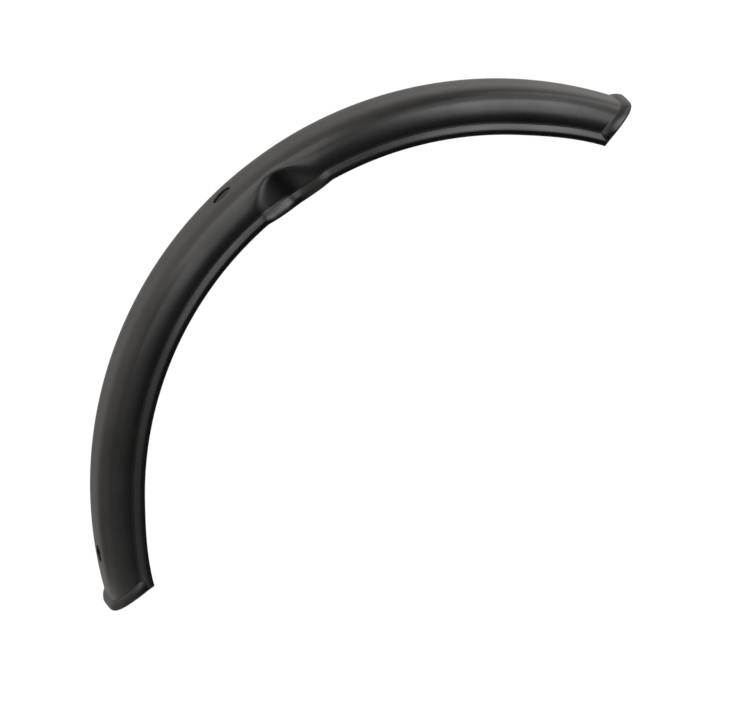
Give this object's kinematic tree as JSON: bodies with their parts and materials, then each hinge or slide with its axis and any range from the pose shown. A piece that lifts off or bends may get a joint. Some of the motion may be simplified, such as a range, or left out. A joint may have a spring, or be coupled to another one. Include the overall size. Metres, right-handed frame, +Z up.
{
  "type": "scooter mudguard",
  "caption": "Moulded black mudguard for a 16 inch scooter wheel, with beaded lips, raised end rims, a pinched waist and a crown hole.",
  "frame": {"origin": "middle of the crown hole, on the outer face of the crown", "axes": "+X towards travel, +Y along the wheel axle, +Z up; the wheel axle is 145.3 mm ahead of the origin and 158.5 mm below it"},
  "size_m": [0.2902, 0.0634, 0.2787],
  "materials": {
    "shell": "satin black moulded polypropylene, fine grain"
  },
  "bodies": {
    "root": {"mudguard": "shell"}
  },
  "joints": []
}
